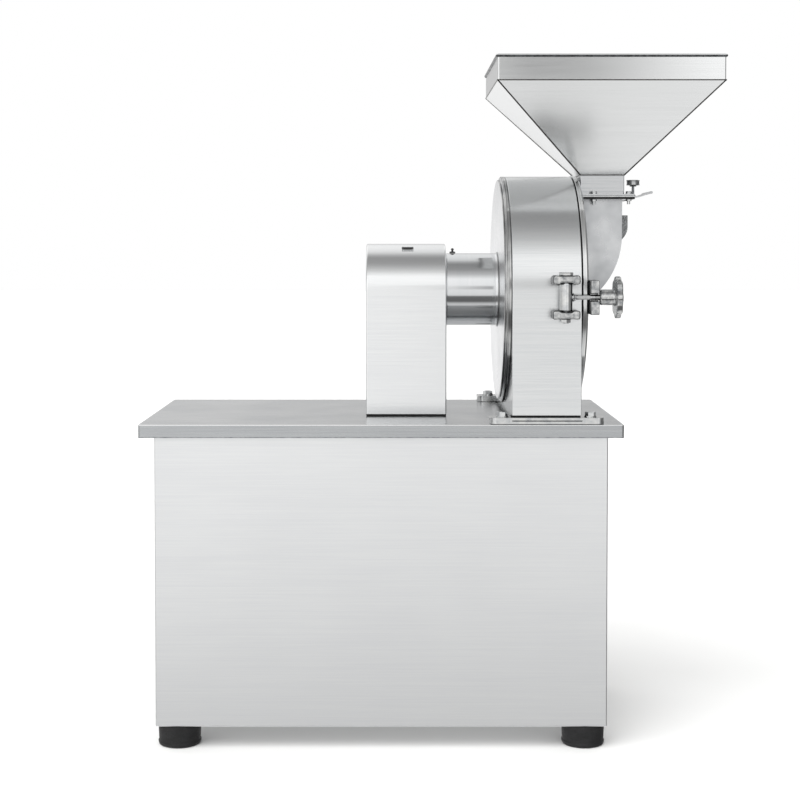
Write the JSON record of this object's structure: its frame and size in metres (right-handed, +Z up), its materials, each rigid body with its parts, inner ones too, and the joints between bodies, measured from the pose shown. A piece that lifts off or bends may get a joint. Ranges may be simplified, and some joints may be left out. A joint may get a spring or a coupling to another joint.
{
  "type": "hammer mill",
  "caption": "Stainless hammer mill on a closed cabinet: square feed hopper with slide gate, round hinged chamber door with swing-bolt clamp, belt guard, bearing housing, collection drawer.",
  "frame": {"origin": "Bottom centre of the closed machine: the middle of its overall box at the level of the foot soles.", "axes": "+X along the shaft from the belt guard to the feed door, +Y from the clamp side to the hinge side, +Z up."},
  "size_m": [1.054, 0.523, 1.25],
  "materials": {
    "brushed_stainless": "straight-brushed stainless sheet",
    "polished_stainless": "turned and polished stainless",
    "plated_steel": "bright plated or polished steel fittings",
    "ground_steel": "machined and ground steel",
    "cast_grey_paint": "satin grey enamel over castings",
    "black_rubber": "moulded black rubber",
    "black_plastic": "black phenolic plastic",
    "seal_rubber": "black sealing rubber sheet"
  },
  "bodies": {
    "root": {"cabinet_shell": "brushed_stainless", "table_top": "brushed_stainless", "foot_near_left": "black_rubber", "foot_near_right": "black_rubber", "foot_far_left": "black_rubber", "foot_far_right": "black_rubber", "motor_base": "brushed_stainless", "motor_frame": "cast_grey_paint", "motor_fan_cover": "cast_grey_paint", "drive_belt": "black_rubber", "belt_guard": "brushed_stainless", "bearing_housing": "brushed_stainless", "grease_nipple": "black_plastic", "ball_bearing_rear": "ground_steel", "ball_bearing_front": "ground_steel", "bearing_cap": "ground_steel", "shaft_seal": "seal_rubber", "chamber_back_plate": "polished_stainless", "chamber_casing": "brushed_stainless", "casing_seal": "seal_rubber", "foot_flange_near": "brushed_stainless", "foot_flange_far": "brushed_stainless", "anchor_bolt_near_left": "plated_steel", "anchor_bolt_near_right": "plated_steel", "anchor_bolt_far_left": "plated_steel", "anchor_bolt_far_right": "plated_steel", "screen_ring": "brushed_stainless", "door_gasket": "seal_rubber", "hinge_bracket": "brushed_stainless", "hinge_pin": "plated_steel", "clamp_ear_upper": "plated_steel", "clamp_ear_lower": "plated_steel", "clamp_pin": "plated_steel", "discharge_chute": "brushed_stainless", "service_hinge": "brushed_stainless"},
    "rotor": {"spindle": "ground_steel", "spindle_pulley": "ground_steel", "rotor_disc": "ground_steel", "hammer_1": "ground_steel", "hammer_2": "ground_steel", "hammer_3": "ground_steel", "hammer_4": "ground_steel", "rotor_nut": "plated_steel"},
    "motor_rotor": {"motor_shaft": "ground_steel", "motor_pulley": "ground_steel"},
    "front_door": {"door_disc": "brushed_stainless", "stator_ring": "ground_steel", "door_hinge_leaf": "brushed_stainless", "feed_chute": "brushed_stainless", "hopper": "brushed_stainless", "clamp_fork": "plated_steel", "air_scoop": "ground_steel"},
    "gate": {"slide_gate": "brushed_stainless", "gate_knob": "black_plastic"},
    "clamp_bolt": {"clamp_rod": "plated_steel"},
    "hand_nut": {"hand_nut": "plated_steel"},
    "clamp_barrel": {"clamp_barrel": "plated_steel"},
    "service_door": {"service_door": "brushed_stainless"},
    "service_latch": {"service_latch": "black_plastic"},
    "drawer": {"collection_drawer": "brushed_stainless"}
  },
  "joints": [
    {"name": "rotor_spin", "type": "hinge", "parent": "root", "child": "rotor", "pos_m": [0.15, 0.0125, 0.822], "axis": [1, 0, 0], "continuous": true},
    {"name": "motor_spin", "type": "hinge", "parent": "root", "child": "motor_rotor", "pos_m": [-0.1, 0.0125, 0.19], "axis": [1, 0, 0], "continuous": true},
    {"name": "door_swing", "type": "hinge", "parent": "root", "child": "front_door", "pos_m": [0.268, 0.2505, 0.822], "axis": [0, 0, 1], "range_deg": [0, 110]},
    {"name": "gate_slide", "type": "slide", "parent": "front_door", "child": "gate", "axis": [1, 0, 0], "range_m": [0, 0.08]},
    {"name": "clamp_swing", "type": "hinge", "parent": "root", "child": "clamp_bolt", "pos_m": [0.23, -0.2245, 0.814], "axis": [0, 0, -1], "range_deg": [0, 100]},
    {"name": "barrel_turn", "type": "hinge", "parent": "root", "child": "clamp_barrel", "pos_m": [0.23, -0.2245, 0.814], "axis": [0, 0, -1], "range_deg": [0, 100]},
    {"name": "hand_nut_turn", "type": "hinge", "parent": "clamp_bolt", "child": "hand_nut", "pos_m": [0.3, -0.2245, 0.814], "axis": [1, 0, 0], "continuous": true},
    {"name": "service_door_swing", "type": "hinge", "parent": "root", "child": "service_door", "pos_m": [-0.458, 0.2255, 0.31], "axis": [0, 0, 1], "range_deg": [0, 120]},
    {"name": "service_latch_turn", "type": "hinge", "parent": "service_door", "child": "service_latch", "pos_m": [-0.066, 0.2255, 0.31], "axis": [0, 1, 0], "range_deg": [0, 90]},
    {"name": "drawer_slide", "type": "slide", "parent": "root", "child": "drawer", "axis": [1, 0, 0], "range_m": [0, 0.15]}
  ],
  "couplings": [
    {"joint": "motor_spin", "follows": "rotor_spin", "ratio": 0.73333},
    {"joint": "barrel_turn", "follows": "clamp_swing", "ratio": 1}
  ]
}
